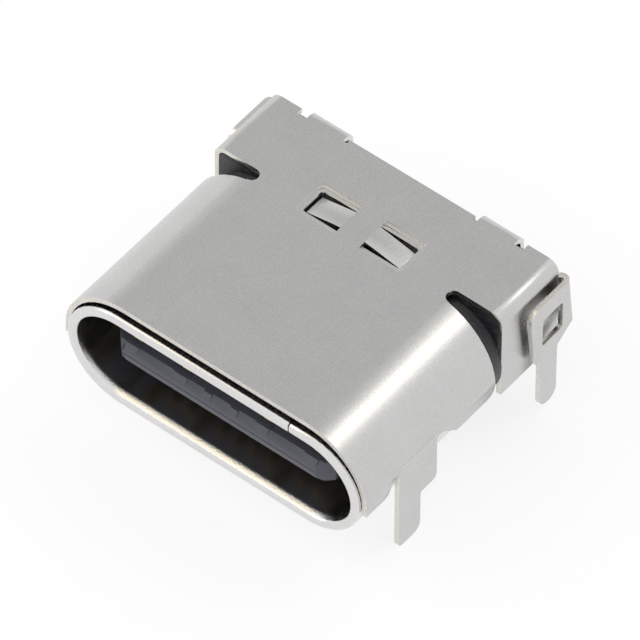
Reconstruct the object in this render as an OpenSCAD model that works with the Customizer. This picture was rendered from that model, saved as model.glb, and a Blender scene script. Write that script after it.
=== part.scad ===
// Right-angle board socket for a reversible 24-contact plug, all sizes in millimetres.
// A stamped outer shield folds over a seamed inner shell and a moulded rear housing.
// Two moulded wafers carry the contacts and clamp a mid plate to form the tongue.
// X runs across the mouth, Y runs from the lip into the socket and Z rises from the board.
// The origin lies on the board's surface, below the middle of the lip.

/* [Mouth] */
// Width of the mouth inside the inner shell
mouth_w = 8.34; // [8:0.02:8.7]
// Height of the mouth inside the inner shell
mouth_h = 2.56; // [2.4:0.02:2.8]
// Depth from the lip to the wall that stops the plug
mouth_depth = 6.2; // [6:0.05:6.5]

/* [Inner shell] */
// Wall of the inner shell
shell_t = 0.3; // [0.24:0.01:0.34]
// Length of the closed tube behind the lip
tube_l = 4.96; // [4.6:0.02:5.06]
// Rounding of the lip's two edges
lip_r = 0.09; // [0.02:0.01:0.11]
// Distance of the butt seam from the middle
seam_x = 2.36; // [1.5:0.02:2.6]
// Width of the butt seam
seam_gap = 0.03; // [0.02:0.01:0.06]
// Width of the strap that ties the tube to the housing
strap_w = 3.6; // [2.4:0.1:4.4]
// Gap between the strap's end and the wafers
strap_gap = 0.06; // [0.04:0.01:0.3]

/* [Outer shield] */
// Thickness of the shield's sheet
sheet_t = 0.14; // [0.12:0.01:0.16]
// Gap between the inner shell and the shield's roof
roof_gap = 0.14; // [0.08:0.01:0.3]
// Gap between the inner shell and each side of the shield
side_gap = 0.01; // [0.01:0.01:0.06]
// How far the lip stands out in front of the shield
lip_out = 0.15; // [0.08:0.01:0.3]
// Distance from the lip to the roof's rear edge
shield_end = 7.7; // [7.64:0.01:7.9]
// Outer radius of the front shoulders
shoulder_r = 1.84; // [1.6:0.02:1.86]
// How far the rear wings stand in from the front sides
wing_inset = 0.21; // [0.15:0.01:0.25]
// Outer radius of the wings' bends
bend_r = 0.34; // [0.28:0.01:0.45]
// Height of the front sides' lower edge over the board
side_bottom = 1.32; // [1.1:0.01:1.4]
// Height of the rear wings' lower edge over the board
wing_bottom = 0.62; // [0.5:0.01:0.8]
// Distance from the lip to the slit that frees the wings
slit_y = 5.18; // [5.16:0.01:5.22]
// Width of the slit
slit_w = 0.39; // [0.3:0.01:0.4]
// Distance of the slit's closed end from the middle
slit_x = 2.9; // [2.7:0.01:3]

/* [Front legs] */
// Distance from the lip to a front leg's front edge
front_leg_y = 1.4; // [1.36:0.01:1.5]
// Width of a front leg below the board
front_leg_w = 0.82; // [0.6:0.01:0.95]
// Width of the stand-off that a front leg hangs from
standoff_w = 1.44; // [1.3:0.01:1.6]
// Length of a front leg below the board
front_leg_l = 1.03; // [0.9:0.01:1.3]
// Height of the relief notches over the board
notch_top = 1.77; // [1.65:0.01:1.85]

/* [Rear legs] */
// Gap inside the hairpin fold of a rear leg
fold_gap = 0.13; // [0.1:0.01:0.2]
// Distance from the lip to a rear plate's front edge
plate_y = 6.33; // [6.2:0.01:6.4]
// Height of a rear plate's lower edge over the board
plate_bottom = 0.93; // [0.8:0.01:1.0]
// Distance from the lip to a rear leg's front edge
rear_leg_y = 6.78; // [6.7:0.01:6.85]
// Width of a rear leg
rear_leg_w = 0.64; // [0.5:0.01:0.75]
// Length of a rear leg below the board
rear_leg_l = 0.84; // [0.7:0.01:1.2]
// Width of the window in a rear plate
window_w = 0.78; // [0.6:0.01:0.8]
// Height of the window in a rear plate
window_h = 0.94; // [0.7:0.01:1]

/* [Roof tabs] */
// Distance from the lip to the front edge of the roof recesses
recess_y = 5.15; // [5.12:0.01:5.24]
// Length of a recess along the socket
recess_w = 1.1; // [1:0.01:1.14]
// Distance of a recess's inner end from the middle
recess_x = 0.37; // [0.3:0.01:0.5]
// Distance of a recess's outer end from the middle
recess_end = 1.65; // [1.55:0.01:1.72]
// Width of the lanced tab inside a recess
lance_w = 0.6; // [0.5:0.01:0.64]
// How far the lanced tab's tip lies below the roof
lance_drop = 0.22; // [0.15:0.01:0.24]
// Middle of a rear hook from the middle of the socket
hook_x = 2.62; // [2.4:0.01:2.7]
// Width of a rear hook
hook_w = 1.14; // [0.8:0.01:1.2]
// Length of a rear hook below the roof
hook_l = 1.12; // [0.8:0.02:1.4]

/* [Tongue] */
// Distance from the lip to the tongue's front face
tongue_y = 0.29; // [0.2:0.01:0.5]
// Thickness of the tongue across its contacts
tongue_t = 0.7; // [0.65:0.01:0.75]
// Width of the tongue, and of the mid plate's latch edges
tongue_w = 6.69; // [6.5:0.01:6.75]
// Length of the thick base at the tongue's root
base_l = 1.45; // [1.3:0.05:1.6]
// Thickness of the thick base
base_t = 1.3; // [1.1:0.02:1.4]
// Thickness of the mid plate
plate_t = 0.15; // [0.1:0.01:0.2]
// Thickness of the two grounding plates
ground_t = 0.12; // [0.08:0.01:0.15]

/* [Contacts] */
// Pitch of the contacts
pitch = 0.5; // [0.48:0.01:0.52]
// Width of a contact
contact_w = 0.25; // [0.2:0.01:0.3]
// Thickness of a contact
contact_t = 0.12; // [0.1:0.01:0.14]
// Length of the through-board tails below the board
tail_l = 0.7; // [0.6:0.01:0.76]
// How far the surface-mount feet reach behind the shield's rear edge
foot_out = 0.66; // [0.4:0.02:0.9]

/* [Hidden] */
$fn = 48;

fit = 0.02;                // clearance between pieces that slide together
over = 0.1;                // how far a cutter runs past the surface it leaves
seat_gap = 0.02;           // the inner shell clears the board by this much
contacts_in_row = 12;

steel = [0.80, 0.80, 0.79];
bright_steel = [0.88, 0.87, 0.85];
black = [0.10, 0.10, 0.12];
gold = [0.85, 0.70, 0.38];

shell_w = mouth_w + 2 * shell_t;
shell_h = mouth_h + 2 * shell_t;
shell_r = shell_h / 2;
mouth_r = mouth_h / 2;
axis_z = seat_gap + shell_r;

shield_x = shell_w / 2 + side_gap + sheet_t;
shield_top = axis_z + shell_r + roof_gap + sheet_t;
roof_under = shield_top - sheet_t;
slit_end = slit_y + slit_w;

wing_x = shield_x - wing_inset;
wing_end = shield_end + 0.07;
slit_flare = 0.1;          // the slit widens by this much on its way out to the side
side_end = slit_y - slit_flare;

standoff_bottom = 0.3;     // the stand-offs clear the board by this much
notch_w = 0.3;
notch_flare = 0.55;
corner_r = 0.3;

fold_top = shield_top - 0.53;
fold_bottom = plate_bottom + 0.4;
fold_lean = 0.17;          // the fold leans back by this much on its way down
plate_x = wing_x + fold_gap;
plate_rake = 0.24;         // the plate's front edge leans back by this much
window_y = rear_leg_y + 0.05;
window_bottom = plate_bottom + 0.53;

step_w = 0.08;             // each ledge of a roof recess is this wide
step_d = 0.05;             // and this deep
lance_y = recess_y + recess_w / 2;
lance_tip = recess_end - 0.19;
hook_out = 0.28;
hook_relief = 0.12;

housing_y = tube_l + fit;
block_y = max(slit_end, housing_y);
collar_play = 0.08;        // the collar round the mouth is this much smaller than the tube
housing_x = wing_x - sheet_t - fit;
housing_top = roof_under - fit;
housing_end = shield_end + hook_out - sheet_t - fit;

half_t = tongue_t / 2;
wafer_rise = 0.98;
skin = 0.02;               // the contacts stand proud of the wafers by this much
nose = 0.15;               // bevel along the tongue's front edges
base_y = mouth_depth - base_l;
base_x = tongue_w / 2 - 0.1;
wafer_y = mouth_depth + fit;
wafer_l = 1.06;
wafer_end = wafer_y + wafer_l;
wafer_x = tongue_w / 2 + 0.15;
wafer_top = axis_z + wafer_rise;
strap_end = wafer_y - strap_gap;
pocket_x = wafer_x + fit;
mid_y = tongue_y + 0.5;

latch_back = 2.9;          // notches at the tongue's sides take the plug's latch springs
latch_y = tongue_y + latch_back;
latch_l = 0.9;
latch_in = 0.3;
nose_w = 0.35;
rib_l = 0.32;
leg_x = tongue_w / 2 - 0.02;
leg_y = wafer_y + 0.25;
leg_w = 0.45;

bend_in = 0.1;             // inner radius of the contacts' bends
row_near = wafer_y + 0.2;
row_far = row_near + 0.5;
drop_y = wafer_end + 0.1;

// ---------- helpers ----------

// Extrudes a shape drawn in X and Z between two places along Y.
module along_y(y0, y1) {
    translate([0, y1, 0]) rotate([90, 0, 0]) linear_extrude(y1 - y0) children();
}

// Extrudes a shape drawn in Y and Z between two places along X.
module along_x(x0, x1) {
    translate([x0, 0, 0]) rotate([90, 0, 90]) linear_extrude(x1 - x0) children();
}

// Repeats what it is given on the other side of the middle.
module both_sides() {
    children();
    mirror([1, 0, 0]) children();
}

// Repeats what it is given below the mouth's centre line.
module flip_down() {
    translate([0, 0, 2 * axis_z]) mirror([0, 0, 1]) children();
}

// A box between two opposite corners.
module block(from, to) {
    translate(from) cube(to - from);
}

// The points of one rounded corner of an outline, between its two neighbours.
function corner(before, at, after, radius, steps = 6) =
    radius <= 0 ? [at] :
    let (
        u = (before - at) / norm(before - at),
        v = (after - at) / norm(after - at),
        half = acos(min(1, max(-1, u * v))) / 2,
        centre = at + (u + v) / norm(u + v) * radius / sin(half),
        first = at + u * radius / tan(half) - centre,
        last = at + v * radius / tan(half) - centre,
        sweep = 180 - 2 * half,
        turn = first[0] * last[1] - first[1] * last[0] > 0 ? 1 : -1
    )
    [for (i = [0 : steps])
        let (a = turn * sweep * i / steps)
        centre + [first[0] * cos(a) - first[1] * sin(a), first[0] * sin(a) + first[1] * cos(a)]];

// An outline whose points are [across, up, corner radius].
module outline(points) {
    count = len(points);
    polygon([for (i = [0 : count - 1])
        let (
            before = points[(i + count - 1) % count],
            at = points[i],
            after = points[(i + 1) % count]
        )
        each corner([before[0], before[1]], [at[0], at[1]], [after[0], after[1]], at[2])]);
}

// A flat oval with full round ends, centred on the mouth.
module oval(width, height) {
    translate([0, axis_z]) {
        square([width - height, height], center = true);
        for (side = [-1, 1]) translate([side * (width - height) / 2, 0]) circle(d = height);
    }
}

// An arch that stands on z = 0, with rounded upper corners.
module arch(half_w, top, r) {
    translate([-half_w, 0]) square([2 * half_w, top - r]);
    translate([-(half_w - r), 0]) square([2 * (half_w - r), top]);
    for (side = [-1, 1]) translate([side * (half_w - r), top - r]) circle(r);
}

// A sheet folded to an arch, cut off level at its lower edges.
module folded(half_w, top, r, bottom) {
    difference() {
        arch(half_w, top, r);
        arch(half_w - sheet_t, top - sheet_t, r - sheet_t);
        translate([-half_w - over, bottom - top]) square([2 * (half_w + over), top]);
    }
}

// A quarter ring round the origin, turned anticlockwise by an angle.
module quarter_bend(r_in, t, angle) {
    rotate(angle) intersection() {
        difference() {
            circle(r_in + t);
            circle(r_in);
        }
        square(r_in + t + over);
    }
}

// ---------- outer shield ----------

// The slit on the right side, from its round closed end out past the side.
module slit_cut() {
    r = slit_w / 2;
    translate([0, 0, -over]) linear_extrude(shield_top + 2 * over) {
        translate([slit_x + r, slit_y + r]) circle(r);
        polygon([
            [slit_x + r, slit_y],
            [shield_x, side_end],
            [shield_x + over, side_end],
            [shield_x + over, slit_end],
            [slit_x + r, slit_end]
        ]);
    }
}

// The stand-off and front leg, seen from the side.
module front_leg_outline() {
    leg_end = front_leg_y + front_leg_w;
    standoff_end = front_leg_y + standoff_w;
    outline([
        [front_leg_y, notch_top + over, 0],
        [front_leg_y, -front_leg_l, 0.14],
        [leg_end, -front_leg_l, 0.26],
        [leg_end, standoff_bottom, 0.1],
        [standoff_end, standoff_bottom, 0.16],
        [standoff_end, notch_top + over, 0]
    ]);
}

// The relief notch in front of a stand-off and the flared one behind it.
module notch_outline() {
    front = front_leg_y - notch_w;
    rear = front_leg_y + standoff_w;
    outline([
        [front - corner_r - over, side_bottom - over, 0],
        [front - corner_r - over, side_bottom, 0],
        [front, side_bottom, corner_r],
        [front, notch_top, 0.12],
        [front_leg_y, notch_top, 0.06],
        [front_leg_y, side_bottom - over, 0]
    ]);
    outline([
        [rear, side_bottom - over, 0],
        [rear, notch_top, 0.06],
        [rear + 0.22, notch_top, 0.08],
        [rear + 0.22 + notch_flare, side_bottom, 0.2],
        [rear + 0.22 + notch_flare + over, side_bottom - over, 0]
    ]);
}

// Rounds the lower rear corner of the front side where the slit leaves it.
module slit_corner() {
    outline([
        [side_end - corner_r, side_bottom - over, 0],
        [side_end - corner_r, side_bottom, 0],
        [side_end, side_bottom, corner_r],
        [side_end, side_bottom + corner_r, 0],
        [slit_y + over, side_bottom + corner_r, 0],
        [slit_y + over, side_bottom - over, 0]
    ]);
}

// The outer plate of a rear leg with its window, seen from the side.
module rear_plate_outline() {
    leg_end = rear_leg_y + rear_leg_w;
    difference() {
        outline([
            [wing_end, fold_top, 0],
            [plate_y, fold_top, 0.32],
            [plate_y + plate_rake, plate_bottom, 0.14],
            [rear_leg_y, plate_bottom, 0.04],
            [rear_leg_y, -rear_leg_l, 0.98 * rear_leg_w / 2],
            [leg_end, -rear_leg_l, 0.98 * rear_leg_w / 2],
            [leg_end, plate_bottom + 0.04, 0.12],
            [wing_end + fold_lean, fold_bottom, 0]
        ]);
        outline([
            [window_y, window_bottom, 0.1],
            [window_y, window_bottom + window_h, 0.1],
            [window_y + window_w, window_bottom + window_h, 0.1],
            [window_y + window_w, window_bottom, 0.1]
        ]);
    }
}

// The right wing's hairpin fold, its outer plate and the leg below it.
module rear_leg() {
    rise = fold_top - fold_bottom;
    along_x(plate_x, plate_x + sheet_t) rear_plate_outline();
    translate([wing_x + fold_gap / 2, wing_end, fold_top]) rotate([180 + atan(fold_lean / rise), 0, 0])
        linear_extrude(norm([rise, fold_lean]))
            for (angle = [180, 270]) quarter_bend(fold_gap / 2, sheet_t, angle);
}

// A sheet strip that leaves the roof, bends down by its own slope and ends in a lanced tip.
module lance() {
    slope = lance_drop / (lance_tip - recess_x);
    under = sheet_t * sqrt(1 + slope * slope);
    along_y(lance_y - lance_w / 2, lance_y + lance_w / 2)
        outline([
            [recess_x - over, shield_top, 0],
            [recess_x, shield_top, 0.2],
            [lance_tip, shield_top - lance_drop, 0.05],
            [lance_tip - under * slope, shield_top - lance_drop - under, 0.02],
            [recess_x, roof_under, 0.2],
            [recess_x - over, roof_under, 0]
        ]);
}

// The plan of one roof recess, drawn in by a margin on all but its inner end.
module recess_plan(margin, r) {
    outline([
        [recess_x, recess_y + margin, 0.02],
        [recess_end - margin, recess_y + margin, r],
        [recess_end - margin, recess_y + recess_w - margin, r],
        [recess_x, recess_y + recess_w - margin, 0.02]
    ]);
}

// What is cut from the roof for one recess: two ledges and the opening round the tab.
module recess_cut() {
    for (ledge = [0, 1])
        translate([0, 0, shield_top - (ledge + 1) * step_d])
            linear_extrude(sheet_t) recess_plan(ledge * step_w, 0.16 - ledge * 0.04);
    translate([0, 0, roof_under - sheet_t])
        linear_extrude(3 * sheet_t) recess_plan(2 * step_w, 0.08);
}

// The underside of one recess stands down where its ledges are pressed in.
module recess_boss() {
    translate([0, 0, roof_under - 2 * step_d])
        linear_extrude(2 * step_d + sheet_t / 2) recess_plan(step_w / 2, 0.12);
}

// The hook that bends down from the roof's rear edge, seen from the side.
module hook() {
    r_in = hook_out - sheet_t;
    bend_z = shield_top - hook_out;
    along_x(hook_x - hook_w / 2, hook_x + hook_w / 2) {
        translate([shield_end, bend_z]) quarter_bend(r_in, sheet_t, 0);
        translate([shield_end + r_in, shield_top - hook_l]) square([sheet_t, bend_z - shield_top + hook_l]);
    }
    along_x(hook_x - hook_w / 2, hook_x + hook_w / 2)
        translate([shield_end - hook_relief - over, roof_under]) square([hook_relief + over, sheet_t]);
}

// Cuts the roof back between the wings, and further on both sides of a hook.
module rear_edge_cut() {
    inner = hook_x - hook_w / 2 - 0.12;
    outer = hook_x + hook_w / 2 + 0.28;
    behind = wing_end + fold_lean + over;
    block([-over, shield_end, roof_under - over], [outer, behind, shield_top + over]);
    block([inner, shield_end - hook_relief, roof_under - over], [outer, behind, shield_top + over]);
    along_x(-over, wing_x + over)
        polygon([
            [wing_end, shield_top + over],
            [wing_end, fold_top],
            [wing_end + fold_lean, fold_bottom],
            [wing_end, fold_bottom],
            [wing_end, -over],
            [behind, -over],
            [behind, shield_top + over]
        ]);
}

module outer_shield() {
    color(steel) {
        difference() {
            union() {
                along_y(lip_out, slit_y) folded(shield_x, shield_top, shoulder_r, side_bottom);
                along_y(slit_end, wing_end + fold_lean) folded(wing_x, shield_top, bend_r, wing_bottom);
                block([-slit_x - slit_w, slit_y, roof_under], [slit_x + slit_w, slit_end, shield_top]);
                both_sides() recess_boss();
            }
            both_sides() {
                slit_cut();
                along_x(shield_x - sheet_t - over, shield_x + over) notch_outline();
                along_x(shield_x - sheet_t - over, shield_x + over) slit_corner();
                recess_cut();
                rear_edge_cut();
            }
        }
        both_sides() {
            along_x(shield_x - sheet_t, shield_x) front_leg_outline();
            rear_leg();
            lance();
            hook();
        }
    }
}

// ---------- inner shell ----------

// The tube's wall with its rounded lip, drawn as distance from the mouth's inside and along Y.
module wall_profile() {
    translate([mouth_r, lip_r]) square([shell_t, tube_l - lip_r]);
    translate([mouth_r + lip_r, 0]) square([shell_t - 2 * lip_r, tube_l]);
    for (edge = [lip_r, shell_t - lip_r]) translate([mouth_r + edge, lip_r]) circle(lip_r);
}

module inner_shell() {
    straight = (mouth_w - mouth_h) / 2;
    color(bright_steel) difference() {
        union() {
            both_sides()
                translate([straight, 0, axis_z]) rotate([-90, -90, 0])
                    rotate_extrude(angle = 180) wall_profile();
            for (turn = [0, 1])
                translate([0, 0, axis_z]) mirror([0, 0, turn])
                    along_x(-straight, straight) mirror([1, -1, 0]) wall_profile();
            block([-strap_w / 2, tube_l - over, seat_gap], [strap_w / 2, strap_end, seat_gap + shell_t]);
        }
        block([seam_x - seam_gap / 2, -over, axis_z], [seam_x + seam_gap / 2, tube_l + over, axis_z + shell_h]);
    }
}

// ---------- rear housing ----------

// The housing's section: box corners under the roof, round corners over the board.
module housing_section(half_w, r) {
    intersection() {
        arch(half_w, housing_top, r);
        translate([-half_w, axis_z]) square([2 * half_w, housing_top]);
    }
    intersection() {
        oval(2 * half_w, 2 * axis_z);
        translate([-half_w, 0]) square([2 * half_w, axis_z]);
    }
}

// The pockets in the housing's roof that a recess and its lanced tab stand down into.
module lance_pocket() {
    slope = lance_drop / (lance_tip - recess_x);
    floor_z = shield_top - lance_drop - sheet_t * sqrt(1 + slope * slope) - fit;
    half = lance_w / 2 + 2 * fit;
    block(
        [recess_x - over, recess_y - fit, roof_under - 2 * step_d - fit],
        [recess_end + fit, recess_y + recess_w + fit, roof_under + over]
    );
    block([recess_x, lance_y - half, floor_z], [recess_end - step_w, lance_y + half, roof_under + over]);
}

module rear_housing() {
    bevel = 0.16;
    color(black) difference() {
        union() {
            if (block_y > housing_y)
                along_y(housing_y, block_y) oval(shell_w - collar_play, shell_h - collar_play);
            along_y(block_y, housing_end) housing_section(housing_x, bend_r - sheet_t - fit);
        }
        along_y(housing_y - over, mouth_depth) oval(mouth_w, mouth_h);
        block([-pocket_x, mouth_depth - over, -over], [pocket_x, housing_end + over, wafer_top + fit]);
        block([-strap_w / 2 - fit, housing_y - over, -over], [strap_w / 2 + fit, strap_end + fit, seat_gap + shell_t]);
        both_sides() lance_pocket();
        along_x(-housing_x - over, housing_x + over)
            polygon([
                [housing_end - bevel, housing_top + over],
                [housing_end - bevel, housing_top],
                [housing_end, housing_top - bevel],
                [housing_end + over, housing_top - bevel],
                [housing_end + over, housing_top + over]
            ]);
    }
}

// ---------- tongue ----------

// The tongue's plan: chamfered nose, latch notches and straight sides back to the base.
module tongue_plan(half_w, front, bevel, latch_in) {
    for (side = [0, 1]) mirror([side, 0, 0])
        outline([
            [0, front, 0],
            [half_w - bevel, front, 0.06],
            [half_w, front + bevel, 0.06],
            [half_w, latch_y, 0.03],
            [half_w - latch_in, latch_y + 0.1, 0.06],
            [half_w - latch_in, latch_y + latch_l, 0.06],
            [half_w, latch_y + latch_l, 0.03],
            [half_w, base_y + over, 0],
            [0, base_y + over, 0]
        ]);
}

// One of the mid plate's two soldered legs, or its notch when it is given a clearance.
module mid_leg(clear) {
    block(
        [leg_x - plate_t - clear, leg_y - clear, clear > 0 ? -over : -tail_l],
        [leg_x + clear, leg_y + leg_w + clear, axis_z]
    );
}

// The plate's flat shape between the wafers, without its legs.
module mid_flat() {
    translate([0, 0, axis_z - plate_t / 2]) linear_extrude(plate_t) {
        tongue_plan(tongue_w / 2, mid_y, 0.45, latch_in);
        translate([0.2 - base_x, base_y]) square([2 * base_x - 0.4, leg_y - base_y + leg_w]);
        translate([-leg_x, leg_y]) square([2 * leg_x, leg_w]);
    }
}

module mid_plate() {
    color(bright_steel) {
        mid_flat();
        both_sides() mid_leg(0);
    }
}

// A rib on the tongue's bevelled nose, in front of a contact.
module rib(x, width, height) {
    block([x - width / 2, tongue_y, axis_z + 0.1], [x + width / 2, tongue_y + rib_l, axis_z + height]);
}

// The moulded half of the tongue above the mid plate, without its cavities.
module wafer_blank() {
    top = axis_z + half_t - skin;
    difference() {
        translate([0, 0, axis_z]) linear_extrude(half_t - skin)
            tongue_plan(tongue_w / 2 - 0.03, tongue_y, nose_w, latch_in + 0.05);
        along_x(-tongue_w, tongue_w)
            polygon([
                [tongue_y - over, top - nose - over],
                [tongue_y + nose + over, top + over],
                [tongue_y - over, top + over]
            ]);
    }
    for (i = [1, 4, 9, 12]) rib(contact_x(i), 0.42, half_t);
    for (side = [-1, 1]) rib(side * 0.8 * pitch, 0.25, half_t - skin);
    block([-base_x, base_y, axis_z], [base_x, wafer_y + over, axis_z + base_t / 2]);
}

module upper_wafer() {
    color(black) difference() {
        union() {
            wafer_blank();
            block([-wafer_x, wafer_y, axis_z], [wafer_x, wafer_end, wafer_top]);
        }
        mid_flat();
        for (i = [1 : contacts_in_row]) contact_a(i);
    }
}

module lower_wafer() {
    color(black) difference() {
        union() {
            flip_down() wafer_blank();
            block([-wafer_x, wafer_y, seat_gap], [wafer_x, wafer_end, axis_z]);
        }
        mid_flat();
        both_sides() mid_leg(fit);
        for (i = [1 : contacts_in_row]) contact_b(i);
    }
}

// A thin plate folded over the thick base, with slots that free its spring bars.
module ground_plate() {
    top = axis_z + base_t / 2 + ground_t;
    lip = axis_z + half_t + 0.06;
    difference() {
        along_x(-base_x, base_x)
            outline([
                [base_y - ground_t, lip, 0.04],
                [base_y - ground_t, top, 0.11],
                [mouth_depth - fit, top, 0.02],
                [mouth_depth - fit, top - ground_t, 0],
                [base_y, top - ground_t, 0],
                [base_y, lip, 0.04]
            ]);
        both_sides()
            block([0.6, base_y + 0.35, top - ground_t - over], [base_x - 0.5, base_y + 0.55, top + over]);
    }
}

module upper_ground_plate() {
    color(bright_steel) ground_plate();
}

module lower_ground_plate() {
    color(bright_steel) flip_down() ground_plate();
}

// ---------- contacts ----------

function contact_x(i) = (i - (contacts_in_row + 1) / 2) * pitch;

// The outer pair and the middle pair of power contacts reach further forward.
function contact_tip(i) =
    tongue_y + rib_l + (i == 1 || i == 4 || i == 9 || i == 12 ? 0.02 : 0.6);

// Upper contact: back through the wafer, down behind it and out in a soldering foot.
module contact_a_path(tip) {
    top = axis_z + half_t;
    turn_z = top - contact_t - bend_in;
    foot_y = drop_y + contact_t + bend_in;
    translate([tip, top - contact_t]) square([drop_y - bend_in - tip, contact_t]);
    translate([drop_y - bend_in, turn_z]) quarter_bend(bend_in, contact_t, 0);
    translate([drop_y, contact_t + bend_in]) square([contact_t, turn_z - contact_t - bend_in]);
    translate([foot_y, contact_t + bend_in]) quarter_bend(bend_in, contact_t, 180);
    translate([foot_y, 0]) square([shield_end + foot_out - foot_y, contact_t]);
}

// Lower contact: back through the wafer and straight down through the board.
module contact_b_path(tip, row) {
    top = axis_z - half_t + contact_t;
    turn_z = top - contact_t - bend_in;
    point = 0.15;
    translate([tip, top - contact_t]) square([row - bend_in - tip, contact_t]);
    translate([row - bend_in, turn_z]) quarter_bend(bend_in, contact_t, 0);
    outline([
        [row, turn_z, 0],
        [row, point - tail_l, 0],
        [row + contact_t / 3, -tail_l, 0],
        [row + contact_t * 2 / 3, -tail_l, 0],
        [row + contact_t, point - tail_l, 0],
        [row + contact_t, turn_z, 0]
    ]);
}

module contact_a(i) {
    color(gold) along_x(contact_x(i) - contact_w / 2, contact_x(i) + contact_w / 2)
        contact_a_path(contact_tip(i));
}

module contact_b(i) {
    color(gold) along_x(contact_x(i) - contact_w / 2, contact_x(i) + contact_w / 2)
        contact_b_path(contact_tip(i), i % 2 == 1 ? row_near : row_far);
}

// ---------- assembly ----------

outer_shield();
inner_shell();
rear_housing();
upper_wafer();
lower_wafer();
mid_plate();
upper_ground_plate();
lower_ground_plate();
contact_a(1);  // contact_a01
contact_a(2);  // contact_a02
contact_a(3);  // contact_a03
contact_a(4);  // contact_a04
contact_a(5);  // contact_a05
contact_a(6);  // contact_a06
contact_a(7);  // contact_a07
contact_a(8);  // contact_a08
contact_a(9);  // contact_a09
contact_a(10);  // contact_a10
contact_a(11);  // contact_a11
contact_a(12);  // contact_a12
contact_b(1);  // contact_b01
contact_b(2);  // contact_b02
contact_b(3);  // contact_b03
contact_b(4);  // contact_b04
contact_b(5);  // contact_b05
contact_b(6);  // contact_b06
contact_b(7);  // contact_b07
contact_b(8);  // contact_b08
contact_b(9);  // contact_b09
contact_b(10);  // contact_b10
contact_b(11);  // contact_b11
contact_b(12);  // contact_b12
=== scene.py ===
"""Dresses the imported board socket: plated sheet, mouldings, contacts, stage and camera."""

import math

import bmesh
import bpy
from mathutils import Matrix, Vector
from mathutils.bvhtree import BVHTree
from mathutils.geometry import area_tri


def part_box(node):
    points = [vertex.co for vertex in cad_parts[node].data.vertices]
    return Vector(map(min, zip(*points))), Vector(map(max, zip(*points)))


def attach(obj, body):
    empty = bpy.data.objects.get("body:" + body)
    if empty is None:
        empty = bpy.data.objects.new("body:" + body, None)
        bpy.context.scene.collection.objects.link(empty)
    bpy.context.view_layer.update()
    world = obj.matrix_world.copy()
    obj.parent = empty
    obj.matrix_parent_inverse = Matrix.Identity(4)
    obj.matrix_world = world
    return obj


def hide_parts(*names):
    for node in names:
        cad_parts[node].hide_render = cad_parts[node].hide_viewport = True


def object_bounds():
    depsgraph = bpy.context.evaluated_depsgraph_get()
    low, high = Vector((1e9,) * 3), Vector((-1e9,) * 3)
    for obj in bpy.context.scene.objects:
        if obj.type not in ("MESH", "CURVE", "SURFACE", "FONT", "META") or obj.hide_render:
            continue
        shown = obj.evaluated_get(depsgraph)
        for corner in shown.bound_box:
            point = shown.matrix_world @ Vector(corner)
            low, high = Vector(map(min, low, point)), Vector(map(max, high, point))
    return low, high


bl_info = {
    "name": "Board socket dressing",
    "version": (1, 0, 0),
    "blender": (4, 5, 0),
    "location": "3D View > Sidebar > Socket",
    "description": "Finishes for a stamped board socket around its packed frame",
    "category": "Object",
}

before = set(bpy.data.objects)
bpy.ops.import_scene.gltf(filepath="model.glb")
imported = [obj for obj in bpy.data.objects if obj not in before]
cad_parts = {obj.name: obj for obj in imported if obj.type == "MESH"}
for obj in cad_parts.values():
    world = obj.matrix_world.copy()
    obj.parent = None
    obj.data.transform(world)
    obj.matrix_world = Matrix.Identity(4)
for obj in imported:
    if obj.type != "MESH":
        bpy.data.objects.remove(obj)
CAD_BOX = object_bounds()
MM = 0.001
FLOOR_Z = CAD_BOX[0].z
CONTACTS = sorted(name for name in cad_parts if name.startswith("contact_"))
MOUTH_Z = (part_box("inner_shell")[0].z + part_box("inner_shell")[1].z) / 2
SHELL_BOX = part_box("inner_shell")
MOUTH_W, MOUTH_H = 8.34 * MM, 2.56 * MM  # the bore of the shell
TONGUE_FRONT_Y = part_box("upper_wafer")[0].y
TONGUE_T, NOSE = 0.70 * MM, 0.15 * MM  # the tongue's thickness and its front bevels
RIB_LEAN = 0.72  # how much of the bevel's slope the ribs' fronts follow
PARTING_W, PARTING_DEPTH = 0.075 * MM, 0.06 * MM  # the groove where the wafers meet
SHEET_T = 0.14 * MM  # the shield's sheet
CUT_FACE_DEPTH = 1.6  # sheets of metal behind a face that a punch must have cut
TOUCHING = 0.0002 * MM  # points closer than this are one point
JUST_INSIDE = 0.002 * MM  # how far under a face the sheet is probed
AT_FRONT = 0.001 * MM  # how near the tongue's front a point counts as on it
FLOOR_HALF, FLOOR_GLOW, FLOOR_SHADE = 0.6, 0.79, 0.3  # half width, own light, share of light
WAFER_BACK_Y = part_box("upper_wafer")[1].y


# ---------- settings ----------


def colour(name, description, default):
    """A colour setting."""
    return bpy.props.FloatVectorProperty(
        name=name, description=description, subtype="COLOR", size=3, min=0, max=1, default=default
    )


def share(name, description, default):
    """A setting from none to all."""
    return bpy.props.FloatProperty(
        name=name, description=description, subtype="FACTOR", min=0, max=1, default=default
    )


def length(name, description, default, highest=1.0):
    """A length setting in metres."""
    return bpy.props.FloatProperty(
        name=name, description=description, unit="LENGTH", min=0, max=highest, default=default,
        precision=6,
    )


def count(name, description, default, lowest=0.0, highest=500.0):
    """A plain number setting."""
    return bpy.props.FloatProperty(
        name=name, description=description, min=lowest, max=highest, default=default
    )


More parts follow.
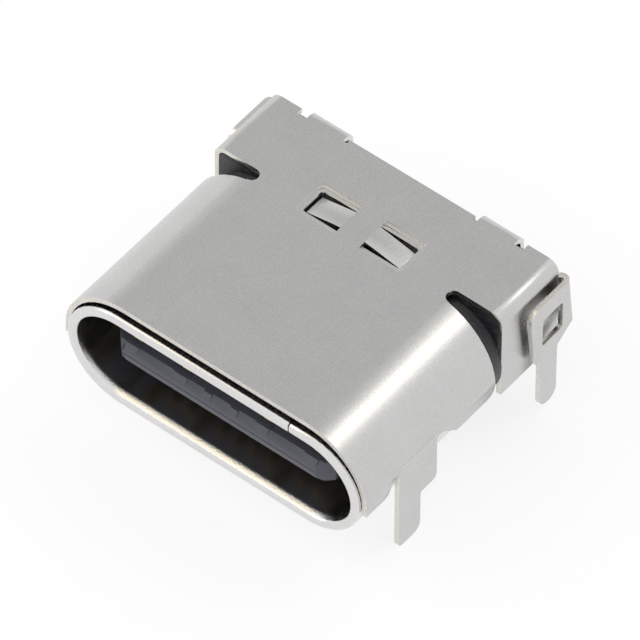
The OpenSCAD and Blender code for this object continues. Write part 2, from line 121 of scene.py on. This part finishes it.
class SheetSettings(bpy.types.PropertyGroup):
    """The plated sheet of the shield, the shell and the plates."""

    nickel: colour("Nickel", "Colour of the satin nickel plating", (0.598, 0.598, 0.592))
    bright_nickel: colour(
        "Bright nickel", "Colour of the shell's bright plating", (0.74, 0.735, 0.73))
    cut_edge: colour("Cut edge", "Colour of the punched edges", (0.80, 0.77, 0.72))
    satin: share("Satin", "Roughness of the shield's plating", 0.27)
    bright: share("Bright", "Roughness of the shell's plating", 0.16)
    stainless: colour("Stainless", "Colour of the plain plates", (0.56, 0.56, 0.56))
    grain: count("Grain", "Specks of the plating in one millimetre", 19.0)
    edge_round: length("Edge rounding", "Radius of the rounded punched edges", 0.034 * MM, 0.001)
    lead_in: length("Lead-in", "How far the mouth's floor opens downwards", 0.085 * MM, 0.001)
    lead_in_depth: length("Lead-in depth", "How far in the lead-in ends", 0.25 * MM, 0.001)
    lip_round: length("Shell edge rounding", "Radius of the shell's other edges", 0.02 * MM, 0.001)


class MouldingSettings(bpy.types.PropertyGroup):
    """The black mouldings."""

    black: colour("Black", "Colour of the mouldings", (0.016, 0.017, 0.021))
    # painted sheen: the tongue is the same black moulding as the housing, and this lighter, bluer
    # colour paints in the sheen it shows
    tongue: colour("Tongue", "Colour of the tongue's painted_sheen mouldings", (0.105, 0.109, 0.135))
    dust: colour("Glass fibre", "Colour of the fibres at the skin", (0.10, 0.105, 0.12))
    sheen: share("Skin roughness", "Roughness of the moulded skin", 0.42)
    edge_round: length("Edge rounding", "Radius of the housing's edges", 0.02 * MM, 0.001)
    parting_round: length("Parting rounding", "Radius of the tongue's edges", 0.032 * MM, 0.001)


class ContactSettings(bpy.types.PropertyGroup):
    """The stamped contacts."""

    gold: colour("Gold", "Colour of the plating on the tongue", (0.88, 0.63, 0.27))
    tin: colour("Tin", "Colour of the plating on the tails", (0.66, 0.66, 0.65))
    edge_round: length("Edge rounding", "Radius of the contacts' edges", 0.012 * MM, 0.001)


class StageSettings(bpy.types.PropertyGroup):
    """The camera, the lamps and the floor."""

    azimuth: bpy.props.FloatProperty(
        name="Azimuth", description="How far the camera stands round to the right",
        subtype="ANGLE", default=math.radians(38.8))
    elevation: bpy.props.FloatProperty(
        name="Elevation", description="How high the camera looks down from",
        subtype="ANGLE", default=math.radians(49.8))
    distance: length("Distance", "Distance from the camera to the mouth", 224.4 * MM)
    view_width: length("View width", "Width of the view at the mouth", 15.2236 * MM)
    aside: length("Aside", "How far the middle of the view lies right of the mouth", 2.5975 * MM)
    above: length("Above", "How far the middle of the view lies above the mouth", 2.3692 * MM)
    floor: colour("Floor", "Colour of the floor", (0.86, 0.86, 0.86))
    warm: colour("Key colour", "Colour of the lamp above the right shoulder", (1.0, 0.94, 0.83))
    warm_card: colour("Warm card", "Colour of the card above the mouth", (1.0, 0.89, 0.68))
    key: count("Key", "Brightness of the lamp above the right shoulder", 1.75, 0, 50)
    fill: count("Fill", "Brightness of the lamp on the left", 0.9, 0, 50)
    room: count("Room", "Brightness of the room for matt surfaces", 0.62, 0, 10)


class SocketSettings(bpy.types.PropertyGroup):
    """Everything that a user would change."""

    sheet: bpy.props.PointerProperty(type=SheetSettings)
    moulding: bpy.props.PointerProperty(type=MouldingSettings)
    contact: bpy.props.PointerProperty(type=ContactSettings)
    stage: bpy.props.PointerProperty(type=StageSettings)


# ---------- node helpers ----------


def add_node(tree, kind, **inputs):
    """A node with its unlinked inputs set by socket name; spaces are written as underscores."""
    made = tree.nodes.new(kind)
    for name, value in inputs.items():
        made.inputs[name.replace("_", " ")].default_value = value
    return made


def ramp(tree, source, stops):
    """Turns a number into a grey along the given stops."""
    made = tree.nodes.new("ShaderNodeValToRGB")
    elements = made.color_ramp.elements
    while len(elements) < len(stops):
        elements.new(0.5)
    for element, (place, value) in zip(elements, stops):
        element.position = place
        element.color = (value, value, value, 1)
    tree.links.new(source, made.inputs["Fac"])
    return made.outputs["Color"]


def new_group(name, inputs, outputs):
    """A shader group with float inputs and the given outputs, and its two end nodes."""
    group = bpy.data.node_groups.new(name, "ShaderNodeTree")
    for label, value in inputs:
        socket = group.interface.new_socket(label, in_out="INPUT", socket_type="NodeSocketFloat")
        socket.default_value = value
    for label in outputs:
        group.interface.new_socket(label, in_out="OUTPUT", socket_type="NodeSocketFloat")
    return group, group.nodes.new("NodeGroupInput"), group.nodes.new("NodeGroupOutput")


def millimetres(tree):
    """The surface's own coordinates in millimetres."""
    place = tree.nodes.new("ShaderNodeTexCoord")
    scaled = tree.nodes.new("ShaderNodeVectorMath")
    scaled.operation = "SCALE"
    scaled.inputs["Scale"].default_value = 1 / MM
    tree.links.new(place.outputs["Object"], scaled.inputs[0])
    return scaled.outputs[0]


def grain_group():
    """Specks, soft blotches and rolling streaks of a plated sheet."""
    group, start, end = new_group(
        "Plating grain", [("Grain", 14.0), ("Blotch", 1.3)], ["Specks", "Blotches", "Streaks"]
    )
    place = millimetres(group)
    specks = add_node(group, "ShaderNodeTexNoise", Detail=3.0, Roughness=0.62)
    blotches = add_node(group, "ShaderNodeTexNoise", Detail=2.0, Roughness=0.5)
    for noise, label in ((specks, "Grain"), (blotches, "Blotch")):
        group.links.new(place, noise.inputs["Vector"])
        group.links.new(start.outputs[label], noise.inputs["Scale"])
    stretched = add_node(group, "ShaderNodeMapping")
    stretched.inputs["Scale"].default_value = (9.0, 0.5, 9.0)
    streaks = add_node(group, "ShaderNodeTexNoise", Scale=1.0, Detail=2.0)
    group.links.new(place, stretched.inputs["Vector"])
    group.links.new(stretched.outputs[0], streaks.inputs["Vector"])
    for noise, label in ((specks, "Specks"), (blotches, "Blotches"), (streaks, "Streaks")):
        group.links.new(noise.outputs["Fac"], end.inputs[label])
    return group


def fibre_group():
    """Short pale fibres and fine pits in the skin of a glass-filled moulding."""
    group, start, end = new_group("Moulded skin", [("Scale", 9.0)], ["Fibres", "Pits"])
    place = millimetres(group)
    bent = add_node(group, "ShaderNodeTexNoise", Scale=5.0, Detail=1.0)
    mixed = add_node(group, "ShaderNodeMapping")
    mixed.inputs["Scale"].default_value = (0.35, 1.6, 1.3)
    fibres = add_node(group, "ShaderNodeTexNoise", Detail=4.0, Roughness=0.7)
    pits = add_node(group, "ShaderNodeTexNoise", Scale=40.0, Detail=2.0)
    group.links.new(place, bent.inputs["Vector"])
    group.links.new(place, mixed.inputs["Vector"])
    group.links.new(mixed.outputs[0], fibres.inputs["Vector"])
    group.links.new(start.outputs["Scale"], fibres.inputs["Scale"])
    group.links.new(place, pits.inputs["Vector"])
    pale = ramp(group, fibres.outputs["Fac"], [(0.56, 0.0), (0.74, 1.0)])
    group.links.new(pale, end.inputs["Fibres"])
    group.links.new(pits.outputs["Fac"], end.inputs["Pits"])
    return group


def shared(name, build):
    """The node group of that name, made the first time it is asked for."""
    return bpy.data.node_groups.get(name) or build()


def place_group(tree, group, **inputs):
    """Puts a node group into a material, with its own input values."""
    made = tree.nodes.new("ShaderNodeGroup")
    made.node_tree = group
    for name, value in inputs.items():
        made.inputs[name].default_value = value
    return made


def new_material(name):
    """A new material, its node tree and its surface shader."""
    made = bpy.data.materials.new(name)
    made.use_nodes = True
    return made, made.node_tree, made.node_tree.nodes["Principled BSDF"]


def between(tree, mask, low, high):
    """A number that runs from low to high with a mask."""
    made = tree.nodes.new("ShaderNodeMapRange")
    made.inputs["To Min"].default_value = low
    made.inputs["To Max"].default_value = high
    tree.links.new(mask, made.inputs["Value"])
    return made.outputs["Result"]


def two_colours(tree, mask, first, second):
    """A colour that runs from the first to the second with a mask."""
    made = tree.nodes.new("ShaderNodeMix")
    made.data_type = "RGBA"
    made.inputs["A"].default_value = (*first, 1)
    made.inputs["B"].default_value = (*second, 1)
    tree.links.new(mask, made.inputs["Factor"])
    return made.outputs["Result"]


def bump(tree, height, strength, depth):
    """A normal that follows a height."""
    made = add_node(tree, "ShaderNodeBump", Strength=strength, Distance=depth)
    tree.links.new(height, made.inputs["Height"])
    return made.outputs["Normal"]


def plated(name, tint, roughness, grain, dark=0.90, relief=0.15):
    """Plated sheet: speckled colour and gloss with a fine relief."""
    made, tree, surface = new_material(name)
    noise = place_group(tree, shared("Plating grain", grain_group), Grain=grain)
    specks = ramp(tree, noise.outputs["Specks"], [(0.32, 0.0), (0.68, 1.0)])
    blotches = ramp(tree, noise.outputs["Blotches"], [(0.35, 0.0), (0.65, 1.0)])
    mixed = tree.nodes.new("ShaderNodeMath")
    mixed.operation = "MULTIPLY_ADD"
    mixed.inputs[1].default_value = 0.3
    tree.links.new(blotches, mixed.inputs[0])
    tree.links.new(specks, mixed.inputs[2])
    darker = tuple(dark * part for part in tint)
    tree.links.new(two_colours(tree, mixed.outputs[0], darker, tint), surface.inputs["Base Color"])
    streaks = between(tree, noise.outputs["Streaks"], roughness * 0.9, roughness * 1.12)
    tree.links.new(streaks, surface.inputs["Roughness"])
    tree.links.new(bump(tree, noise.outputs["Specks"], relief, 0.01 * MM), surface.inputs["Normal"])
    surface.inputs["Metallic"].default_value = 1.0
    return made


def punched(name, tint):
    """The punched edge of a sheet: a smooth shear band over a torn grey one."""
    made, tree, surface = new_material(name)
    noise = place_group(tree, shared("Plating grain", grain_group), Grain=30.0)
    torn = ramp(tree, noise.outputs["Specks"], [(0.42, 0.0), (0.6, 1.0)])
    darker = tuple(0.78 * part for part in tint)
    tree.links.new(two_colours(tree, torn, darker, tint), surface.inputs["Base Color"])
    tree.links.new(between(tree, torn, 0.30, 0.18), surface.inputs["Roughness"])
    tree.links.new(bump(tree, noise.outputs["Specks"], 0.35, 0.01 * MM), surface.inputs["Normal"])
    surface.inputs["Metallic"].default_value = 1.0
    return made


def moulded(name, settings, tint):
    """Glass-filled black moulding with a slight sheen."""
    made, tree, surface = new_material(name)
    skin = place_group(tree, shared("Moulded skin", fibre_group))
    speckled = two_colours(tree, skin.outputs["Fibres"], tint, settings.dust)
    tree.links.new(speckled, surface.inputs["Base Color"])
    gloss = between(tree, skin.outputs["Pits"], settings.sheen * 0.8, settings.sheen * 1.3)
    tree.links.new(gloss, surface.inputs["Roughness"])
    tree.links.new(bump(tree, skin.outputs["Pits"], 0.25, 0.006 * MM), surface.inputs["Normal"])
    surface.inputs["IOR"].default_value = 1.52
    return made


def contact_plating(name, settings):
    """Gold on the tongue that gives way to tin behind the wafers."""
    made, tree, surface = new_material(name)
    noise = place_group(tree, shared("Plating grain", grain_group), Grain=26.0)
    split = tree.nodes.new("ShaderNodeSeparateXYZ")
    tree.links.new(millimetres(tree), split.inputs[0])
    back = tree.nodes.new("ShaderNodeMapRange")
    back.inputs["From Min"].default_value = WAFER_BACK_Y / MM - 0.3
    back.inputs["From Max"].default_value = WAFER_BACK_Y / MM + 0.1
    tree.links.new(split.outputs["Y"], back.inputs["Value"])
    below = tree.nodes.new("ShaderNodeMapRange")
    below.inputs["From Min"].default_value = 0.6
    below.inputs["From Max"].default_value = 0.3
    tree.links.new(split.outputs["Z"], below.inputs["Value"])
    either = tree.nodes.new("ShaderNodeMath")
    either.operation = "MAXIMUM"
    tree.links.new(back.outputs["Result"], either.inputs[0])
    tree.links.new(below.outputs["Result"], either.inputs[1])
    tint = two_colours(tree, either.outputs[0], settings.gold, settings.tin)
    tree.links.new(tint, surface.inputs["Base Color"])
    tree.links.new(between(tree, noise.outputs["Specks"], 0.16, 0.34), surface.inputs["Roughness"])
    tree.links.new(bump(tree, noise.outputs["Specks"], 0.2, 0.006 * MM), surface.inputs["Normal"])
    surface.inputs["Metallic"].default_value = 1.0
    return made


# ---------- mesh helpers ----------


def clean_copy(node):
    """The node's mesh with its split points joined and its flat faces whole."""
    mesh = bmesh.new()
    mesh.from_mesh(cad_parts[node].data)
    bmesh.ops.remove_doubles(mesh, verts=mesh.verts, dist=TOUCHING)
    bmesh.ops.dissolve_limit(
        mesh, angle_limit=math.radians(1.0), verts=mesh.verts, edges=mesh.edges,
        use_dissolve_boundaries=False,
    )
    bmesh.ops.recalc_face_normals(mesh, faces=mesh.faces)
    return mesh


def points_on_faces(mesh):
    """A point on each face, also round a window: the middle of its largest triangle."""
    mesh.faces.index_update()
    largest = {}
    for loops in mesh.calc_loop_triangles():
        corners = [loop.vert.co for loop in loops]
        area = area_tri(*corners)
        if area >= largest.get(loops[0].face.index, (0,))[0]:
            largest[loops[0].face.index] = (area, sum(corners, Vector()) / 3)
    return {index: point for index, (_, point) in largest.items()}


def mark_cut_faces(mesh, thickness):
    """Gives the second material to the faces that a punch cut: behind them the sheet runs deep."""
    points = points_on_faces(mesh)
    tree = BVHTree.FromBMesh(mesh)
    for face in mesh.faces:
        inward = -face.normal
        start = points[face.index] + inward * JUST_INSIDE
        hit, _, _, depth = tree.ray_cast(start, inward)
        if hit is not None and depth > CUT_FACE_DEPTH * thickness:
            face.material_index = 1


def round_edges(mesh, radius, sharp=35.0):
    """A narrow two-step rounding on every edge sharper than an angle."""
    edges = [
        edge for edge in mesh.edges
        if len(edge.link_faces) == 2 and edge.calc_face_angle(0) > math.radians(sharp)
        and edge.calc_length() > 0.1 * radius
    ]
    bmesh.ops.bevel(
        mesh, geom=edges, offset=radius, offset_type="OFFSET", segments=2, profile=0.5,
        affect="EDGES", clamp_overlap=True, loop_slide=True, material=-1,
    )


def flare_mouth(mesh, depth, flare, rows=6, curve=1.25):
    """Opens the bore's front end in a shallow lead-in, widest at the floor and none at the roof."""
    front = SHELL_BOX[0].y
    bore_end_x = MOUTH_W / 2 - MOUTH_H / 2
    half_wall = (SHELL_BOX[1].x - MOUTH_W / 2) / 2
    for row in range(1, rows + 2):
        bmesh.ops.bisect_plane(
            mesh, geom=mesh.verts[:] + mesh.edges[:] + mesh.faces[:], dist=TOUCHING / 2,
            plane_co=(0, front + depth * row / rows, 0), plane_no=(0, 1, 0),
        )
    for vert in mesh.verts:
        aside = math.copysign(max(0, abs(vert.co.x) - bore_end_x), vert.co.x)
        outward = Vector((aside, 0, vert.co.z - MOUTH_Z))
        depth_left = 1 - (vert.co.y - front) / depth
        if outward.length > MOUTH_H / 2 + half_wall or depth_left <= 0:
            continue
        floor_share = 0.5 - 0.5 * outward.normalized().z
        vert.co += outward.normalized() * flare * floor_share * depth_left ** curve


def lay_back_ribs(mesh):
    """Leans the fronts of the small ribs back along the tongue's bevelled nose."""
    for vert in mesh.verts:
        past_bevel = abs(vert.co.z - MOUTH_Z) - (TONGUE_T / 2 - NOSE)
        if vert.co.y < TONGUE_FRONT_Y + AT_FRONT and past_bevel > 0.01 * MM:
            vert.co.y += RIB_LEAN * past_bevel


def groove_parting(mesh):
    """Presses a fine groove into the tongue's front where the two wafers meet."""
    for side in (-1, 1):
        bmesh.ops.bisect_plane(
            mesh, geom=mesh.verts[:] + mesh.edges[:] + mesh.faces[:], dist=TOUCHING / 2,
            plane_co=(0, 0, MOUTH_Z + side * PARTING_W / 2), plane_no=(0, 0, 1),
        )
    for vert in mesh.verts:
        on_parting = abs(vert.co.z - MOUTH_Z) < 0.2 * PARTING_W
        if on_parting and vert.co.y < TONGUE_FRONT_Y + AT_FRONT:
            vert.co.y += PARTING_DEPTH


def finish_piece(mesh, name, node, materials):
    """Turns the mesh into a smooth-shaded piece that stands for the node."""
    data = bpy.data.meshes.new(name)
    mesh.to_mesh(data)
    mesh.free()
    piece = bpy.data.objects.new(name, data)
    bpy.context.scene.collection.objects.link(piece)
    for made in materials:
        data.materials.append(made)
    data.shade_smooth()
    weighted = piece.modifiers.new("Even shading", "WEIGHTED_NORMAL")
    weighted.keep_sharp = True
    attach(piece, "root")
    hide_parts(node)
    return piece


def refined(node, name, radius, materials, thickness=None):
    """A rounded, finished piece in place of a node; a sheet's cut faces get the second material."""
    mesh = clean_copy(node)
    if thickness is not None:
        mark_cut_faces(mesh, thickness)
    round_edges(mesh, radius)
    return finish_piece(mesh, name, node, materials)


# ---------- operators ----------


class SOCKET_OT_shield(bpy.types.Operator):
    """Make the stamped outer shield with rounded, punched edges"""

    bl_idname = "socket.shield"
    bl_label = "Outer shield"

    def execute(self, context):
        settings = context.scene.socket.sheet
        nickel = plated("Satin nickel", tuple(settings.nickel), settings.satin, settings.grain)
        cut = punched("Punched edge", tuple(settings.cut_edge))
        refined("outer_shield", "shield_sheet", settings.edge_round,
                [nickel, cut], SHEET_T)
        return {"FINISHED"}


class SOCKET_OT_shell(bpy.types.Operator):
    """Make the seamed inner shell with its rounded lip"""

    bl_idname = "socket.shell"
    bl_label = "Inner shell"

    def execute(self, context):
        settings = context.scene.socket.sheet
        bright = plated("Bright nickel", tuple(settings.bright_nickel), settings.bright,
                        settings.grain, 0.9, 0.5)
        mesh = clean_copy("inner_shell")
        round_edges(mesh, settings.lip_round)
        flare_mouth(mesh, settings.lead_in_depth, settings.lead_in)
        finish_piece(mesh, "shell_tube", "inner_shell", [bright])
        return {"FINISHED"}


class SOCKET_OT_mouldings(bpy.types.Operator):
    """Make the rear housing and the two wafers of the tongue"""

    bl_idname = "socket.mouldings"
    bl_label = "Mouldings"

    def execute(self, context):
        settings = context.scene.socket.moulding
        black = moulded("Black moulding", settings, settings.black)
        # the tongue gets a lighter, bluer copy of the black moulding, which is painted sheen
        tongue = moulded("Tongue moulding with painted sheen", settings, settings.tongue)
        refined("rear_housing", "housing_block", settings.edge_round, [black])
        for node, name in (("upper_wafer", "wafer_above"), ("lower_wafer", "wafer_below")):
            mesh = clean_copy(node)
            lay_back_ribs(mesh)
            groove_parting(mesh)
            round_edges(mesh, settings.parting_round)
            finish_piece(mesh, name, node, [tongue])
        return {"FINISHED"}


class SOCKET_OT_plates(bpy.types.Operator):
    """Finish the mid plate and the two grounding plates"""

    bl_idname = "socket.plates"
    bl_label = "Plates"

    def execute(self, context):
        settings = context.scene.socket.sheet
        steel = plated("Plain stainless", tuple(settings.stainless), 0.3, 20.0)
        for node, name in (("mid_plate", "latch_plate"),
                           ("upper_ground_plate", "ground_plate_above"),
                           ("lower_ground_plate", "ground_plate_below")):
            refined(node, name, settings.edge_round / 2, [steel])
        return {"FINISHED"}


class SOCKET_OT_contacts(bpy.types.Operator):
    """Finish the twenty-four stamped contacts"""

    bl_idname = "socket.contacts"
    bl_label = "Contacts"

    def execute(self, context):
        settings = context.scene.socket.contact
        plating = contact_plating("Contact plating", settings)
        for node in CONTACTS:
            refined(node, node.replace("contact", "terminal"),
                    settings.edge_round, [plating])
        return {"FINISHED"}


class SOCKET_OT_stage(bpy.types.Operator):
    """Set up the pale floor, the soft lamps, the room and the camera"""

    bl_idname = "socket.stage"
    bl_label = "Stage"

    def execute(self, context):
        settings = context.scene.socket.stage
        make_floor(settings)
        make_room(settings)
        make_lamps(settings)
        make_camera(settings)
        context.scene.view_settings.view_transform = "Standard"
        return {"FINISHED"}


def seen_mask(tree):
    """One for camera, mirror and glass rays, none for light that a matt surface sends on."""
    path = tree.nodes.new("ShaderNodeLightPath")
    mask = path.outputs["Is Camera Ray"]
    for name in ("Is Glossy Ray", "Is Transmission Ray"):
        either = tree.nodes.new("ShaderNodeMath")
        either.operation = "MAXIMUM"
        tree.links.new(mask, either.inputs[0])
        tree.links.new(path.outputs[name], either.inputs[1])
        mask = either.outputs[0]
    return mask


def square_sheet(name, half):
    """A flat square in the scene, centred on its own origin."""
    data = bpy.data.meshes.new(name)
    corners = [(-half, -half, 0), (half, -half, 0), (half, half, 0), (-half, half, 0)]
    data.from_pydata(corners, [], [(0, 1, 2, 3)])
    sheet = bpy.data.objects.new(name, data)
    bpy.context.scene.collection.objects.link(sheet)
    return sheet


def make_floor(settings):
    """A wide plain floor that looks white and keeps the object's shadow."""
    floor = square_sheet("floor", FLOOR_HALF)
    floor.location = (0, 0, FLOOR_Z - 0.001 * MM)
    made = bpy.data.materials.new("White floor")
    made.use_nodes = True
    tree = made.node_tree
    tree.nodes.clear()
    plain = add_node(tree, "ShaderNodeBsdfDiffuse")
    plain.inputs["Color"].default_value = (*settings.floor, 1)
    shaded = add_node(tree, "ShaderNodeBsdfDiffuse")
    shaded.inputs["Color"].default_value = (FLOOR_SHADE, FLOOR_SHADE, FLOOR_SHADE, 1)
    glow = add_node(tree, "ShaderNodeEmission", Strength=FLOOR_GLOW)
    both = tree.nodes.new("ShaderNodeAddShader")
    tree.links.new(shaded.outputs[0], both.inputs[0])
    tree.links.new(glow.outputs[0], both.inputs[1])
    choice = tree.nodes.new("ShaderNodeMixShader")
    end = tree.nodes.new("ShaderNodeOutputMaterial")
    tree.links.new(seen_mask(tree), choice.inputs[0])
    tree.links.new(plain.outputs[0], choice.inputs[1])
    tree.links.new(both.outputs[0], choice.inputs[2])
    tree.links.new(choice.outputs[0], end.inputs["Surface"])
    floor.data.materials.append(made)


def make_room(settings):
    """A white surround, and a plain level of light for matt surfaces."""
    world = bpy.data.worlds.new("Studio")
    bpy.context.scene.world = world
    world.use_nodes = True
    tree = world.node_tree
    tree.nodes.clear()
    light = add_node(tree, "ShaderNodeBackground", Strength=settings.room)
    seen = add_node(tree, "ShaderNodeBackground", Strength=1.0)
    for part in (light, seen):
        part.inputs["Color"].default_value = (1, 1, 1, 1)
    choice = tree.nodes.new("ShaderNodeMixShader")
    end = tree.nodes.new("ShaderNodeOutputWorld")
    tree.links.new(seen_mask(tree), choice.inputs[0])
    tree.links.new(light.outputs[0], choice.inputs[1])
    tree.links.new(seen.outputs[0], choice.inputs[2])
    tree.links.new(choice.outputs[0], end.inputs["Surface"])


def aimed(obj, direction, distance):
    """Puts an object in a direction from the socket's middle and turns it to face it."""
    middle = (CAD_BOX[0] + CAD_BOX[1]) / 2
    away = Vector(direction).normalized()
    obj.location = middle + away * distance
    obj.rotation_mode = "QUATERNION"
    obj.rotation_quaternion = away.to_track_quat("Z", "Y")


def area_lamp(name, direction, distance, size, brightness, tint=(1, 1, 1)):
    """A square lamp that shows a given brightness, whatever its size."""
    data = bpy.data.lights.new(name, "AREA")
    data.color = tint
    data.shape = "SQUARE"
    data.size = size
    data.energy = brightness * math.pi * size * size
    lamp = bpy.data.objects.new(name, data)
    bpy.context.scene.collection.objects.link(lamp)
    aimed(lamp, direction, distance)
    lamp.visible_camera = False


def metal_card(name, direction, distance, size, tint, level):
    """A glowing card that only the metal sees."""
    card = square_sheet(name, size / 2)
    aimed(card, direction, distance)
    made = bpy.data.materials.new(name)
    made.use_nodes = True
    made.node_tree.nodes.clear()
    glow = add_node(made.node_tree, "ShaderNodeEmission", Strength=level)
    glow.inputs["Color"].default_value = (*tint, 1)
    end = made.node_tree.nodes.new("ShaderNodeOutputMaterial")
    made.node_tree.links.new(glow.outputs[0], end.inputs["Surface"])
    card.data.materials.append(made)
    card.visible_camera = False
    card.visible_diffuse = False
    card.visible_shadow = False


def make_lamps(settings):
    """A warm lamp and a soft one, and the cards that give the metal its greys."""
    area_lamp("key_lamp", direction=(0.35, 0.50, 0.79), distance=0.11, size=0.034,
              brightness=settings.key, tint=settings.warm)
    area_lamp("fill_lamp", direction=(-0.7, -0.4, 0.6), distance=0.14, size=0.09,
              brightness=settings.fill)
    metal_card("ceiling_card", direction=(-0.40, 0.50, 0.76), distance=0.12, size=0.10,
               tint=(1, 1, 1), level=0.69)
    metal_card("warm_card", direction=(-0.40, -0.14, 0.90), distance=0.13, size=0.055,
               tint=settings.warm_card, level=1.6)


def make_camera(settings):
    """Looks down over the mouth's right end from a long way off."""
    a, e = settings.azimuth, settings.elevation
    right = Vector((math.cos(a), math.sin(a), 0))
    back = Vector((math.sin(a) * math.cos(e), -math.cos(a) * math.cos(e), math.sin(e)))
    up = back.cross(right)
    data = bpy.data.cameras.new("camera")
    data.sensor_width = 36.0
    data.lens = settings.distance / settings.view_width * data.sensor_width
    data.clip_start, data.clip_end = 0.01, 10.0
    camera = bpy.data.objects.new("camera", data)
    bpy.context.scene.collection.objects.link(camera)
    camera.location = (
        Vector((0, 0, MOUTH_Z)) + back * settings.distance + right * settings.aside
        + up * settings.above
    )
    camera.rotation_mode = "QUATERNION"
    camera.rotation_quaternion = back.to_track_quat("Z", "Y")
    bpy.context.scene.camera = camera


# ---------- panel and registration ----------


STEPS = (
    SOCKET_OT_shield, SOCKET_OT_shell, SOCKET_OT_mouldings, SOCKET_OT_plates,
    SOCKET_OT_contacts, SOCKET_OT_stage,
)


class SOCKET_PT_panel(bpy.types.Panel):
    """Lists the pieces in the order they are made"""

    bl_idname = "SOCKET_PT_panel"
    bl_label = "Board socket"
    bl_space_type = "VIEW_3D"
    bl_region_type = "UI"
    bl_category = "Socket"

    def draw(self, context):
        settings = context.scene.socket
        for step in STEPS:
            self.layout.operator(step.bl_idname)
        for group in (settings.sheet, settings.moulding, settings.contact, settings.stage):
            box = self.layout.box()
            for name in group.__annotations__:
                box.prop(group, name)


CLASSES = (
    SheetSettings, MouldingSettings, ContactSettings, StageSettings, SocketSettings,
    *STEPS, SOCKET_PT_panel,
)


def register():
    for kind in CLASSES:
        bpy.utils.register_class(kind)
    bpy.types.Scene.socket = bpy.props.PointerProperty(type=SocketSettings)


def unregister():
    del bpy.types.Scene.socket
    for kind in reversed(CLASSES):
        bpy.utils.unregister_class(kind)


def main():
    register()
    bpy.ops.socket.shield()
    bpy.ops.socket.shell()
    bpy.ops.socket.mouldings()
    bpy.ops.socket.plates()
    bpy.ops.socket.contacts()
    bpy.ops.socket.stage()


if __name__ == "__main__":
    main()
